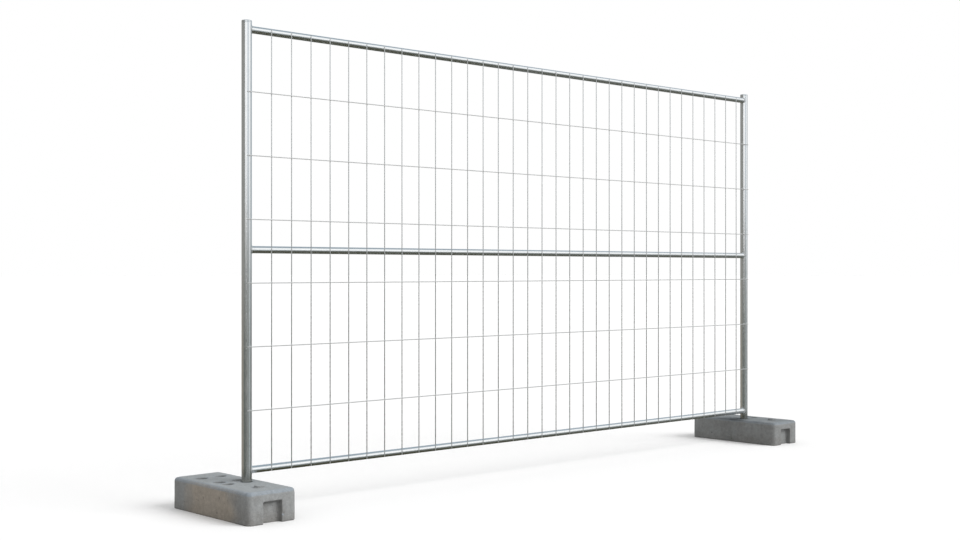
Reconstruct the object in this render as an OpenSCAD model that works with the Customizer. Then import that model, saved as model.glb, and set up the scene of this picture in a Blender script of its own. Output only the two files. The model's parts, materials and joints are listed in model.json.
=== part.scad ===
// Temporary site-fence panel: a welded frame of round zinc-coated tube with a wire mesh,
// its posts standing loose in the sockets of two cast concrete feet.
// Millimetres, +Z up, +X along the panel, the mesh on the -Y side.
// The origin is on the ground, midway between the feet.

/* [Posts] */
// Distance between the axes of the two posts
post_spacing = 3410; // [1500:10:4000]
// Outer diameter of the post tubes
post_d = 42; // [38:0.5:60]
// Wall of the post tubes
post_wall = 1.5; // [1:0.1:4]
// Length of each post tube, without its cap
post_length = 2013; // [1200:1:2600]

/* [Post caps] */
// Height of the cap that shows above the post tube
cap_height = 10; // [6:0.5:25]
// Radius of the rounded top edge of the cap
cap_edge_r = 3; // [1:0.5:5]
// Length of the plug inside the post tube
cap_plug_length = 22; // [10:1:50]
// Wall of the hollow plug
cap_wall = 2.5; // [1.5:0.1:5]
// Radial clearance of the plug in the post tube
cap_clearance = 0.15; // [0.05:0.05:0.5]

/* [Rails] */
// Outer diameter of the three rails
rail_d = 30; // [22:0.5:34]
// Wall of the rail tubes
rail_wall = 1.5; // [1:0.1:3]
// Axis of the top rail below the top of the cap
top_rail_drop = 36; // [28:1:120]
// Gap between the top of a foot and the bottom rail
foot_gap = 32; // [16:1:120]

/* [Mesh] */
// Diameter of the upright wires
vertical_wire_d = 4; // [2.5:0.1:6]
// Diameter of the level wires
horizontal_wire_d = 4; // [2.5:0.1:6]
// Distance between neighbouring upright wires
wire_pitch = 100; // [80:1:250]
// Least distance from a post axis to the first upright wire
mesh_end_gap = 80; // [40:1:150]
// Sideways set of the mesh from the middle of the panel
mesh_shift = 4; // [-15:1:15]
// Upright wires above the axis of the top rail
wire_over_top = 9; // [4:1:14]
// Upright wires below the axis of the bottom rail
wire_over_bottom = 12; // [4:1:14]
// Topmost level wire below the axis of the top rail
first_row_drop = 258; // [60:1:400]
// Distance between neighbouring level wires
row_pitch = 261.5; // [150:0.5:450]
// Least height of the lowest level wire above the axis of the bottom rail
row_end_gap = 120; // [40:1:220]
// Level wires past the axis of each post
row_over_post = 10; // [2:1:16]
// Gap that the welds bridge between wires, rails and posts
weld_gap = 0.1; // [0.05:0.05:0.4]

/* [Feet] */
// Length of a foot, square to the panel
foot_length = 576; // [480:2:800]
// Width of a foot, along the panel
foot_width = 228; // [190:2:320]
// Height of a foot
foot_height = 130; // [100:1:140]
// Radius of the four upright edges of a foot
foot_corner_r = 22; // [18:1:40]
// Radius of the rounded top edge of a foot
foot_edge_r = 16; // [4:1:17]

/* [Sockets] */
// Distance between the two rows of sockets
socket_row_pitch = 90; // [70:1:110]
// Distance from the middle of a foot to its two inner pairs of sockets
inner_pair_step = 31; // [30:1:60]
// Distance from the middle of a foot to its outer pair of sockets
outer_pair_step = 171; // [130:1:200]
// Radial clearance of a post in its socket
socket_clearance = 2; // [0.5:0.25:5]
// Height of the bevel round the mouth of each socket
socket_bevel = 3; // [1:0.5:6]

/* [Grips and stacking] */
// Width of the hand grip in each end of a foot
grip_width = 88; // [70:1:120]
// Height of the hand grip above the ground
grip_height = 87; // [50:1:92]
// Depth of the hand grip
grip_depth = 24; // [15:1:45]
// Diameter of the stacking stud on top of a foot
stud_d = 44; // [24:1:60]
// Height of the stacking stud
stud_height = 9; // [4:1:12]
// Axis of the stacking stud from the front end of a foot
stud_inset = 93; // [75:1:110]
// Clearance all round the stud of the foot below in its seat
stud_clearance = 3; // [1:0.5:6]
// Height of the bevel round the mouth of the seat
seat_bevel = 3; // [1:0.5:6]

/* [Hidden] */
$fn = 64;
// Facets of the blended foot block, and of its rounded top edge
hull_fn = 32;
edge_steps = 8;
// Length by which a cut runs past the face it opens
past = 1;
zinc = [0.72, 0.74, 0.76];
cap_grey = [0.62, 0.64, 0.66];
concrete = [0.58, 0.58, 0.56];

post_r = post_d / 2;
rail_r = rail_d / 2;
post_x = post_spacing / 2;
post_y = -inner_pair_step;
panel_top = post_length + cap_height;

// The rails stand forward of the post axes, so that straight level wires
// lie on the upright wires and on the fronts of the posts alike.
rail_y = post_y - (post_r - rail_r - vertical_wire_d);
top_rail_z = panel_top - top_rail_drop;
bottom_rail_z = foot_height + foot_gap + rail_r;
mid_rail_z = (top_rail_z + bottom_rail_z) / 2;

vertical_y = rail_y - rail_r - weld_gap - vertical_wire_d / 2;
vertical_base = bottom_rail_z - wire_over_bottom;
vertical_length = top_rail_z + wire_over_top - vertical_base;
vertical_count = floor((post_spacing - 2 * mesh_end_gap) / wire_pitch) + 1;
first_vertical_x = mesh_shift - (vertical_count - 1) * wire_pitch / 2;

horizontal_y = vertical_y - vertical_wire_d / 2 - weld_gap - horizontal_wire_d / 2;
horizontal_length = post_spacing + 2 * row_over_post;
first_row_z = top_rail_z - first_row_drop;
row_count = floor((first_row_z - bottom_rail_z - row_end_gap) / row_pitch) + 1;

socket_r = post_r + socket_clearance;
foot_x = post_x + socket_row_pitch / 2;
pair_steps = [outer_pair_step, inner_pair_step, -inner_pair_step];
stud_y = stud_inset - foot_length / 2;
seat_r = stud_d / 2 + stud_clearance;

function two_digits(n) = str(n < 10 ? "0" : "", n);
vertical_names = [for (i = [1:vertical_count]) str("vertical_wire_", two_digits(i))];
horizontal_names = [for (i = [1:row_count]) str("horizontal_wire_", i)];
post_names = ["left_post", "right_post", "left_post_cap", "right_post_cap"];
rail_names = ["top_rail", "mid_rail", "bottom_rail"];
foot_names = ["left_foot", "right_foot"];

// Upright tube on the ground plane
module tube(outer_d, wall, length) {
    difference() {
        cylinder(d = outer_d, h = length);
        translate([0, 0, -past]) cylinder(d = outer_d - 2 * wall, h = length + 2 * past);
    }
}

// Turns an upright shape to lie along +X
module along_x() {
    rotate([0, 90, 0]) children();
}

module post(side) {
    color(zinc)
        translate([side * post_x, post_y, 0]) tube(post_d, post_wall, post_length);
}

// Half section of the cap's head, with its rounded top edge
module cap_section() {
    square([post_r - cap_edge_r, cap_height]);
    square([post_r, cap_height - cap_edge_r]);
    translate([post_r - cap_edge_r, cap_height - cap_edge_r]) circle(cap_edge_r);
}

module post_cap(side) {
    plug_d = post_d - 2 * post_wall - 2 * cap_clearance;
    color(cap_grey)
        translate([side * post_x, post_y, post_length]) {
            rotate_extrude() cap_section();
            translate([0, 0, -cap_plug_length]) tube(plug_d, cap_wall, cap_plug_length);
        }
}

// Tube between the posts, its ends cut to the round of the posts
module rail(z) {
    color(zinc)
        difference() {
            translate([-post_x, rail_y, z]) along_x() tube(rail_d, rail_wall, post_spacing);
            for (side = [-1, 1])
                translate([side * post_x, post_y, z - rail_d])
                    cylinder(r = post_r + weld_gap, h = 2 * rail_d);
        }
}

module vertical_wire(index) {
    x = first_vertical_x + (index - 1) * wire_pitch;
    color(zinc)
        translate([x, vertical_y, vertical_base]) cylinder(d = vertical_wire_d, h = vertical_length);
}

module horizontal_wire(index) {
    z = first_row_z - (index - 1) * row_pitch;
    color(zinc)
        translate([-horizontal_length / 2, horizontal_y, z])
            along_x() cylinder(d = horizontal_wire_d, h = horizontal_length);
}

// Half section of an upright corner of a foot, rounded over at the top
module corner_section() {
    over = [for (a = [0:90 / edge_steps:90]) foot_edge_r * [cos(a) - 1, sin(a) - 1]];
    shoulder = [for (p = over) p + [foot_corner_r, foot_height]];
    polygon(concat([[0, 0], [foot_corner_r, 0]], shoulder, [[0, foot_height]]));
}

module foot_block() {
    hull()
        for (sx = [-1, 1], sy = [-1, 1])
            translate([sx * (foot_width / 2 - foot_corner_r), sy * (foot_length / 2 - foot_corner_r), 0])
                rotate_extrude($fn = hull_fn) corner_section();
}

// Hole for a post, right through to the ground, with a bevelled mouth
module socket() {
    translate([0, 0, -past]) cylinder(r = socket_r, h = foot_height + 2 * past);
    translate([0, 0, foot_height - socket_bevel])
        cylinder(r1 = socket_r, r2 = socket_r + socket_bevel, h = socket_bevel);
}

// Finger recess, open at the end face and at the ground
module grip() {
    translate([-grip_width / 2, foot_length / 2 - grip_depth, -past])
        cube([grip_width, grip_depth + past, grip_height + past]);
}

// Stub on top of a foot that keys into the seat of the foot stacked on it
module stud() {
    translate([0, stud_y, foot_height / 2]) cylinder(d = stud_d, h = foot_height / 2 + stud_height);
}

// Blind hole under a foot, with a bevelled mouth
module stud_seat() {
    translate([0, stud_y, -past]) cylinder(r = seat_r, h = past + stud_height + stud_clearance);
    translate([0, stud_y, 0]) cylinder(r1 = seat_r + seat_bevel, r2 = seat_r, h = seat_bevel);
}

module foot(side) {
    color(concrete)
        translate([side * foot_x, 0, 0])
            difference() {
                union() {
                    foot_block();
                    stud();
                }
                for (row = [-1, 1], step = pair_steps)
                    translate([row * socket_row_pitch / 2, step, 0]) socket();
                for (turn = [0, 180])
                    rotate([0, 0, turn]) grip();
                stud_seat();
            }
}

module left_post() { post(-1); }
module right_post() { post(1); }
module left_post_cap() { post_cap(-1); }
module right_post_cap() { post_cap(1); }
module top_rail() { rail(top_rail_z); }
module mid_rail() { rail(mid_rail_z); }
module bottom_rail() { rail(bottom_rail_z); }
module left_foot() { foot(-1); }
module right_foot() { foot(1); }

left_post();
right_post();
left_post_cap();
right_post_cap();
top_rail();
mid_rail();
bottom_rail();
for (i = [1:vertical_count])
    vertical_wire(i);
for (i = [1:row_count])
    horizontal_wire(i);
left_foot();
right_foot();
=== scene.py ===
"""Looks of a temporary fence panel: zinc-coated tube and wire standing in cast concrete feet.

Metres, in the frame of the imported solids: +X along the panel, the mesh on the -Y side, +Z up.
"""

import json
import logging
import math
from collections.abc import Callable, Iterator, Sequence
from dataclasses import dataclass
from enum import Enum
from functools import reduce

import bmesh
import bpy
import numpy as np
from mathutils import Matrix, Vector, noise


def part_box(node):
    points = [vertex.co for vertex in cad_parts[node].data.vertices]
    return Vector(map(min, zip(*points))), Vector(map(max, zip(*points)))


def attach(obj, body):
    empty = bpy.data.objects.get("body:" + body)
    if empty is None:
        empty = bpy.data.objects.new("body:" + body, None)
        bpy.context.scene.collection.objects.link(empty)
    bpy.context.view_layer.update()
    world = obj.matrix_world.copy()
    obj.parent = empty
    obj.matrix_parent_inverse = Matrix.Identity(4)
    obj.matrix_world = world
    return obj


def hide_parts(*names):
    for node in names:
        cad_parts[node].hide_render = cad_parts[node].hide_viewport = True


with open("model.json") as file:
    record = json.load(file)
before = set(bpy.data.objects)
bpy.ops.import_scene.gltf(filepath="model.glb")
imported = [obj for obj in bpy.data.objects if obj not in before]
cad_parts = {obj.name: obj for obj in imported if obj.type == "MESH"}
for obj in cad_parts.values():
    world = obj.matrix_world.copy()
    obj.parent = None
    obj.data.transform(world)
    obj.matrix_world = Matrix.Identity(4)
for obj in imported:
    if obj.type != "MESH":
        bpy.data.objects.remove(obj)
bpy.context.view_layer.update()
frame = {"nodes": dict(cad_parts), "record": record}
LOG = logging.getLogger("fence_panel")

MM = 0.001
SHARP_ANGLE = math.radians(38)
PANEL = "panel"
DRAWN = "drawn_place"
FLOAT, WHOLE, VECTOR = "NodeSocketFloat", "NodeSocketInt", "NodeSocketVector"
SHAPE = "NodeSocketGeometry"
SEEN_RAYS = ("Is Camera Ray", "Is Glossy Ray", "Is Transmission Ray")
# Numbers of the colour sockets of a Mix node.
MIX_FIRST, MIX_SECOND, MIX_RESULT = 6, 7, 2

Triple = tuple[float, float, float]
Colour = Triple
Range = tuple[float, float]
Grid = tuple[Sequence[float], Sequence[float], float]
Material, Mesh, Piece = bpy.types.Material, bpy.types.Mesh, bpy.types.Object


class Side(Enum):
    """End of the panel, with the direction in which it lies along +X."""

    LEFT = -1
    RIGHT = 1

    @property
    def label(self) -> str:
        """Word that starts the names of the pieces at this end."""
        return self.name.lower()


class Level(Enum):
    """Rail of the frame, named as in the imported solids."""

    TOP = "top_rail"
    MID = "mid_rail"
    BOTTOM = "bottom_rail"


class Slot(Enum):
    """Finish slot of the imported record."""

    TUBE = "tube"
    WIRE = "wire"
    CAP = "post_cap"
    CONCRETE = "concrete"


class Mark(Enum):
    """Float attribute that a mesh carries for its finish."""

    SPRAY = "weld_spray"
    GRIME = "ground_grime"
    # Upper edges: a little polish, and painted bluish sky light.
    EDGE = "edge_wear"
    # Upward faces: painted paler and bluish, as sky light.
    TOP = "top_face"
    PORE = "open_pore"
    DUST = "dry_dust"
    # Also carries a dark patch on the top beside the post.
    DAMP = "damp"


@dataclass(frozen=True)
class Span:
    """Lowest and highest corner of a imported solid."""

    lo: Vector
    hi: Vector

    @classmethod
    def of(cls, node: str) -> "Span":
        """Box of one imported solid."""
        return cls(*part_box(node))

    @property
    def centre(self) -> Vector:
        """Middle of the box."""
        return (self.lo + self.hi) / 2

    @property
    def size(self) -> Vector:
        """Lengths of the box's three sides."""
        return self.hi - self.lo


class Flow:
    """Output of a node, which takes part in sums and products."""

    def __init__(self, tree: "Tree", socket: bpy.types.NodeSocket) -> None:
        """Keeps the socket and its tree."""
        self.tree, self.socket = tree, socket

    def __add__(self, other: "Flow | float") -> "Flow":
        """Sum of two values."""
        return self.tree.math("ADD", self, other)

    def __sub__(self, other: "Flow | float") -> "Flow":
        """Difference of two values."""
        return self.tree.math("SUBTRACT", self, other)

    def __rsub__(self, other: float) -> "Flow":
        """A number less this value."""
        return self.tree.math("SUBTRACT", other, self)

    def __mul__(self, other: "Flow | float") -> "Flow":
        """Product of two values."""
        return self.tree.math("MULTIPLY", self, other)

    def most(self, other: "Flow | float") -> "Flow":
        """Larger of two values."""
        return self.tree.math("MAXIMUM", self, other)

    def ease(self, low: float, high: float, start: float = 0.0, end: float = 1.0) -> "Flow":
        """Smooth step of the value.

        Args:
            low: Value at which the step begins.
            high: Value at which the step is done.
            start: Result up to low.
            end: Result from high on.

        Returns:
            The eased value.
        """
        feeds = {"Value": self, "From Min": low, "From Max": high, "To Min": start, "To Max": end}
        return self.tree.get("ShaderNodeMapRange", feeds, interpolation_type="SMOOTHSTEP")


class Tree:
    """Node tree that is put together by short calls."""

    def __init__(self, nodes: bpy.types.NodeTree) -> None:
        """Wraps a tree of shader or geometry nodes."""
        self.nodes = nodes

    @classmethod
    def blank(cls, owner: Material | bpy.types.World) -> "Tree":
        """Empty tree of a new material or world.

        Args:
            owner: Material or world.

        Returns:
            The tree.
        """
        owner.use_nodes = True
        owner.node_tree.nodes.clear()
        return cls(owner.node_tree)

    def add(self, kind: str, feeds: dict | None = None, **settings: object) -> bpy.types.Node:
        """Adds a node.

        Args:
            kind: Blender's name of the node type.
            feeds: Plain value or flow for each input, by the input's name or number.
            **settings: Properties of the node.

        Returns:
            The new node.
        """
        node = self.nodes.nodes.new(kind)
        for key, value in settings.items():
            setattr(node, key, value)
        self.fill(node, feeds or {})
        return node

    def get(self, kind: str, feeds: dict | None = None, output: int | str = 0, **settings: object) -> Flow:
        """Adds a node and gives one of its outputs."""
        return Flow(self, self.add(kind, feeds, **settings).outputs[output])

    def fill(self, node: bpy.types.Node, feeds: dict) -> None:
        """Links flows to a node's inputs, or sets the inputs to plain values.

        Args:
            node: Node to fill.
            feeds: Plain value or flow for each input, by the input's name or number.
        """
        for key, value in feeds.items():
            if isinstance(value, Flow):
                self.nodes.links.new(value.socket, node.inputs[key])
            else:
                node.inputs[key].default_value = value

    def math(self, operation: str, first: Flow | float, second: Flow | float = 0.0) -> Flow:
        """Result of a math node on two values."""
        return self.get("ShaderNodeMath", {0: first, 1: second}, operation=operation)

    def vector(self, operation: str, first: Flow, second: Flow | Triple, output: int | str = 0) -> Flow:
        """Result of a vector math node on two vectors."""
        return self.get("ShaderNodeVectorMath", {0: first, 1: second}, output, operation=operation)

    def along(self, vector: Flow, axis: str) -> Flow:
        """One coordinate of a vector."""
        return self.get("ShaderNodeSeparateXYZ", {0: vector}, axis)

    def mix(self, share: Flow | float, first: Flow | Colour, second: Flow | Colour,
            mode: str = "MIX") -> Flow:
        """Colour between two colours.

        Args:
            share: Share of the second colour.
            first: First colour.
            second: Second colour.
            mode: Way of mixing.

        Returns:
            The mixed colour.
        """
        first, second = ((*end, 1.0) if isinstance(end, tuple) else end for end in (first, second))
        feeds = {0: share, MIX_FIRST: first, MIX_SECOND: second}
        return self.get("ShaderNodeMix", feeds, MIX_RESULT, data_type="RGBA", blend_type=mode)

    def coat(self, colour: Flow, layers: Sequence[tuple[Flow | float, Colour]]) -> Flow:
        """Colour under layers of other colours, each with its share."""
        return reduce(lambda under, layer: self.mix(layer[0], under, layer[1]), layers, colour)

    def noise(self, vector: Flow, scale: Flow | float, detail: float = 3.0, rough: float = 0.55) -> Flow:
        """Value of a cloudy noise, about 0.5."""
        feeds = {"Vector": vector, "Scale": scale, "Detail": detail, "Roughness": rough}
        return self.get("ShaderNodeTexNoise", feeds)

    def cells(self, vector: Flow, scale: Flow | float, channel: int) -> tuple[Flow, Flow]:
        """Distance from the middle of each cell of a cell pattern, and the cell's own number.

        Args:
            vector: Place in the pattern.
            scale: Cells per metre.
            channel: Channel of the cell's random colour that gives its number.

        Returns:
            The distance and the number.
        """
        outputs = self.add("ShaderNodeTexVoronoi", {"Vector": vector, "Scale": scale}).outputs
        number = self.get("ShaderNodeSeparateColor", {"Color": Flow(self, outputs["Color"])}, channel)
        return Flow(self, outputs["Distance"]), number

    def effect(self, group: bpy.types.NodeTree, feeds: dict[str, float]) -> dict[str, Flow]:
        """Places a shared effect with the values of its inputs, and gives its outputs by name."""
        outputs = self.add("ShaderNodeGroup", feeds, node_tree=group).outputs
        return {socket.name: Flow(self, socket) for socket in outputs}

    def mark(self, mark: Mark) -> Flow:
        """Value of one of the mesh's own attributes."""
        return self.get("ShaderNodeAttribute", output="Fac", attribute_name=mark.value)

    def place(self) -> Flow:
        """Object coordinates."""
        return self.get("ShaderNodeTexCoord", output="Object")

    def light_seen(self) -> Flow:
        """One for camera, glossy and transmission rays, zero for the rays that carry light."""
        path = self.add("ShaderNodeLightPath").outputs
        return reduce(Flow.most, (Flow(self, path[ray]) for ray in SEEN_RAYS))


def new_group(name: str, kind: str, inputs: dict[str, str],
              outputs: dict[str, str]) -> tuple[Tree, dict[str, Flow], bpy.types.Node]:
    """Starts a node group with named sockets.

    Args:
        name: Name of the group.
        kind: Blender's type of node tree.
        inputs: Socket type of each input, by name.
        outputs: Socket type of each output, by name.

    Returns:
        The group's tree, its inputs by name, and its output node.
    """
    group = bpy.data.node_groups.new(name, kind)
    for way, sockets in (("INPUT", inputs), ("OUTPUT", outputs)):
        for label, socket_type in sockets.items():
            group.interface.new_socket(name=label, in_out=way, socket_type=socket_type)
    tree = Tree(group)
    entry = tree.add("NodeGroupInput").outputs
    return tree, {label: Flow(tree, entry[label]) for label in inputs}, tree.add("NodeGroupOutput")


class SurfaceEffects:
    """Shader node groups that more than one finish uses."""

    BEND = 6 * MM
    GRAIN_SHARE = 0.3
    GRAIN_HEIGHT = 0.5
    PATCH_EDGE = (-0.06, 0.12)
    SPLASH_SPREAD = 1.6
    SPLASH_EDGE = (0.0, 0.9)

    def __init__(self) -> None:
        """Builds the groups."""
        self.spangle = self.build_spangle()
        self.patches = self.build_patches()
        self.splash = self.build_splash()

    @staticmethod
    def start(name: str, inputs: Sequence[str], outputs: Sequence[str]) -> tuple[Tree, dict, bpy.types.Node]:
        """Starts a shader group whose sockets are all numbers."""
        return new_group(name, "ShaderNodeTree", dict.fromkeys(inputs, FLOAT), dict.fromkeys(outputs, FLOAT))

    @classmethod
    def build_spangle(cls) -> bpy.types.NodeTree:
        """Zinc crystals: a tone and a height for each crystal, with a fine grain over both.

        Returns:
            The group.
        """
        inputs = ("Crystals per Metre", "Grain per Metre")
        tree, entry, out = cls.start("zinc_spangle", inputs, ("Tone", "Height"))
        place = tree.place()
        bend = tree.noise(place, entry["Crystals per Metre"], 2.0)
        bent = tree.vector("ADD", place, tree.vector("MULTIPLY", bend, (cls.BEND,) * 3))
        _, crystal = tree.cells(bent, entry["Crystals per Metre"], 0)
        grain = tree.noise(place, entry["Grain per Metre"], 3.0, 0.6)
        tone = crystal * (1.0 - cls.GRAIN_SHARE) + grain * cls.GRAIN_SHARE
        tree.fill(out, {"Tone": tone, "Height": tone + grain * cls.GRAIN_HEIGHT})
        return tree.nodes

    @classmethod
    def build_patches(cls) -> bpy.types.NodeTree:
        """Broken patches of dull oxide or of drip marks, drawn out along Z by the streak value.

        Returns:
            The group.
        """
        tree, entry, out = cls.start("dull_patches", ("Patches per Metre", "Streak", "Threshold"), ("Mask",))
        draw = tree.get("ShaderNodeCombineXYZ", {0: 1.0, 1: 1.0, 2: entry["Streak"]})
        drawn = tree.vector("MULTIPLY", tree.place(), draw)
        cloud = tree.noise(drawn, entry["Patches per Metre"], 6.0, 0.62)
        tree.fill(out, {"Mask": (cloud - entry["Threshold"]).ease(*cls.PATCH_EDGE)})
        return tree.nodes

    @classmethod
    def build_splash(cls) -> bpy.types.NodeTree:
        """Dirt splashed up from the ground, thinning out at the given height.

        Returns:
            The group.
        """
        tree, entry, out = cls.start("ground_splash", ("Height", "Spots per Metre"), ("Mask",))
        place = tree.place()
        share = tree.math("DIVIDE", tree.along(place, "Z"), entry["Height"])
        spots = tree.noise(place, entry["Spots per Metre"], 5.0, 0.65)
        tree.fill(out, {"Mask": (spots * cls.SPLASH_SPREAD - share).ease(*cls.SPLASH_EDGE)})
        return tree.nodes


class Finish:
    """Base of the finishes: a named material with its node tree."""

    name: str

    def start(self) -> tuple[Material, Tree, bpy.types.Node]:
        """Starts the finish.

        Returns:
            The new material, its tree and its Principled shader.
        """
        material = bpy.data.materials.new(self.name)
        tree = Tree.blank(material)
        shader = tree.add("ShaderNodeBsdfPrincipled")
        tree.add("ShaderNodeOutputMaterial", {"Surface": Flow(tree, shader.outputs[0])})
        return material, tree, shader


@dataclass(frozen=True)
class WeldRow:
    """Even row of welds along a wire, which its finish shows as sprayed with fresh zinc."""

    axis: str
    first: float
    pitch: float
    reach: float = 5 * MM
    fade: float = 5 * MM

    def near(self, tree: Tree) -> Flow:
        """One within reach of a weld, zero away from it."""
        away = tree.math("PINGPONG", tree.along(tree.place(), self.axis) - self.first, self.pitch / 2)
        return away.ease(self.reach, self.reach + self.fade, 1.0, 0.0)


@dataclass(frozen=True)
class ZincFinish(Finish):
    """Zinc-coated steel: crystals, dull oxide, zinc sprayed on the welds and dirt near the ground."""

    name: str
    bright: Colour
    dark: Colour
    rough: float
    rough_spread: float
    crystals: float
    relief: float
    oxide: float
    streak: float = 0.25
    drawn: float = 0.0
    # Darkening towards the bottom, its colour, and the height at which it ends.
    ageing: float = 0.0
    aged_colour: Colour = (0.25, 0.26, 0.26)
    aged_from: float = 1.7
    patina: float = 0.0
    sprayed: float = 0.2
    weld_rows: tuple[WeldRow, ...] = ()
    grain: float = 900.0
    oxide_patches: float = 26.0
    oxide_share: float = 0.25
    oxide_colour: Colour = (0.60, 0.625, 0.64)
    oxide_rough: float = 0.28
    spray_colour: Colour = (0.86, 0.87, 0.87)
    spray_rough: float = 0.25
    dirt_colour: Colour = (0.09, 0.08, 0.062)
    dirt_height: float = 0.22
    dirt_spots: float = 55.0
    dirt: float = 0.45
    dirt_rough: float = 0.2
    metal_lost: float = 0.2
    grime: float = 0.75
    grime_colour: Colour = (0.27, 0.265, 0.225)
    line_share: float = 0.6
    line_edge: Range = (0.33, 0.67)
    bump: float = 0.35

    def build(self, effects: SurfaceEffects) -> Material:
        """Makes the material.

        Args:
            effects: Shared effects.

        Returns:
            The material.
        """
        material, tree, shader = self.start()
        spangle = tree.effect(effects.spangle, {
            "Crystals per Metre": self.crystals, "Grain per Metre": self.grain})
        oxide = tree.effect(effects.patches, {
            "Patches per Metre": self.oxide_patches, "Streak": self.streak, "Threshold": self.oxide})["Mask"]
        splash = tree.effect(effects.splash, {
            "Height": self.dirt_height, "Spots per Metre": self.dirt_spots})["Mask"]
        spray = tree.mark(Mark.SPRAY)
        for row in self.weld_rows:
            spray = spray.most(row.near(tree))
        dull, sprayed, soiled = oxide * self.oxide_share, spray * self.sprayed, splash * self.dirt
        tone = spangle["Tone"]
        if self.drawn:
            drawn = tree.get("ShaderNodeAttribute", output="Vector", attribute_name=DRAWN)
            lines = tree.noise(drawn, self.drawn, 5.0, 0.62).ease(*self.line_edge)
            tone = tone * (1.0 - self.line_share) + lines * self.line_share
        colour = tree.mix(tone, self.dark, self.bright)
        # Darker towards the bottom; on the level wires this is painted shade that evens out the light from
        # above on their lower rows.
        if self.ageing:
            low_dark = tree.along(tree.place(), "Z").ease(0.0, self.aged_from, self.ageing, 0.0)
            colour = tree.mix(low_dark, colour, self.aged_colour)
        colour = tree.coat(colour, [
            (dull, self.oxide_colour), (sprayed, self.spray_colour), (soiled, self.dirt_colour),
            (tree.mark(Mark.GRIME) * self.grime, self.grime_colour)])
        worn = dull * self.oxide_rough + sprayed * self.spray_rough + soiled * self.dirt_rough
        bump = {"Height": spangle["Height"], "Strength": self.bump, "Distance": self.relief}
        tree.fill(shader, {
            "Base Color": colour, "Metallic": (1.0 - self.patina) - (dull + soiled) * self.metal_lost,
            "Roughness": tone * self.rough_spread + self.rough + worn,
            "Normal": tree.get("ShaderNodeBump", bump)})
        return material


@dataclass(frozen=True)
class ConcreteFinish(Finish):
    """Cast concrete: cloudy grey, sand grain, pores, stained sides and rubbed edges.

    Cast concrete: cloudy grey, sand grain, pores and stained sides, with painted bluish sky light on the
    upper edges and top faces; the upper edges are also a little polished.
    """

    name: str
    grey: Colour = (0.325, 0.327, 0.322)
    # Light end of the cloudy tone, and also the colour of the painted bluish sky light on the top faces.
    pale: Colour = (0.374, 0.404, 0.420)
    shade: Colour = (0.245, 0.247, 0.244)
    dust: Colour = (0.455, 0.395, 0.325)
    wet: Colour = (0.085, 0.094, 0.101)
    # Bluish colour of the painted sky light on the upper edges.
    rubbed: Colour = (0.295, 0.340, 0.388)
    pore: Colour = (0.10, 0.098, 0.092)
    soil: Colour = (0.17, 0.15, 0.125)
    grey_share: float = 0.55
    top_share: float = 0.65
    drip_share: float = 0.25
    dust_share: float = 0.75
    soil_share: float = 0.28
    pore_share: float = 0.55
    rubbed_share: Range = (0.45, 0.8)
    soil_height: float = 85 * MM
    clouds: float = 9.0
    mottles: float = 70.0
    grains: float = 620.0
    specks: float = 310.0
    holes: float = 95.0
    drips: float = 38.0
    drip_streak: float = 0.10
    drip_threshold: float = 0.55
    splashes: float = 34.0
    hole_edge: Range = (0.12, 0.26)
    hole_pick: Range = (0.93, 0.96)
    speck_pick: Range = (0.86, 0.97)
    middle: Range = (0.25, 0.75)
    mottle_tone: Range = (0.88, 1.11)
    sand_tone: Range = (0.90, 1.09)
    speck_tone: Range = (1.0, 1.16)
    rough: Range = (0.80, 0.91)
    edge_polish: float = 0.12
    damp_polish: float = 0.22
    shine: float = 0.35
    bump: float = 0.55
    relief: float = 1.0 * MM
    mottle_height: float = 0.7
    sand_height: float = 0.35
    hole_depth: float = 0.9

    def build(self, effects: SurfaceEffects) -> Material:
        """Makes the material.

        Args:
            effects: Shared effects.

        Returns:
            The material.
        """
        material, tree, shader = self.start()
        place = tree.place()
        cloud, mottle, sand = (
            tree.noise(place, per_metre, detail, 0.6)
            for per_metre, detail in ((self.clouds, 6.0), (self.mottles, 5.0), (self.grains, 2.0)))
        _, speck = tree.cells(place, self.specks, 0)
        from_hole, hole_kind = tree.cells(place, self.holes, 1)
        pinhole = from_hole.ease(*self.hole_edge, 1.0, 0.0) * hole_kind.ease(*self.hole_pick)
        drips = tree.effect(effects.patches, {
            "Patches per Metre": self.drips, "Streak": self.drip_streak,
            "Threshold": self.drip_threshold})["Mask"]
        splash = tree.effect(effects.splash, {
            "Height": self.soil_height, "Spots per Metre": self.splashes})["Mask"]
        top, edge, damp, dust = (tree.mark(mark) for mark in (Mark.TOP, Mark.EDGE, Mark.DAMP, Mark.DUST))
        colour = tree.coat(tree.mix(cloud.ease(0.30, 0.70), self.shade, self.pale), [
            # Painted sky light: the upward faces are made paler and bluish.
            (self.grey_share, self.grey), (top * self.top_share, self.pale),
            (drips * (1.0 - top) * self.drip_share, self.shade), (dust * self.dust_share, self.dust),
            (splash * self.soil_share, self.soil),
            # Painted sky light: a bluish line along the upper edges.
            (edge * cloud.ease(0.3, 0.6, *self.rubbed_share), self.rubbed),
            (damp, self.wet)])
        level = (mottle.ease(*self.middle, *self.mottle_tone) * sand.ease(*self.middle, *self.sand_tone)
                 * speck.ease(*self.speck_pick, *self.speck_tone))
        grain = tree.get("ShaderNodeCombineColor", {0: level, 1: level, 2: level})
        pitted = pinhole.most(tree.mark(Mark.PORE)) * self.pore_share
        colour = tree.mix(pitted, tree.mix(1.0, colour, grain, "MULTIPLY"), self.pore)
        rough = mottle.ease(0.3, 0.7, *self.rough)
        rough = rough - edge * self.edge_polish - damp * self.damp_polish
        height = mottle * self.mottle_height + sand * self.sand_height - pinhole * self.hole_depth
        bump = {"Height": height, "Strength": self.bump, "Distance": self.relief}
        tree.fill(shader, {"Base Color": colour, "Roughness": rough, "Specular IOR Level": self.shine,
                           "Normal": tree.get("ShaderNodeBump", bump)})
        return material


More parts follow.
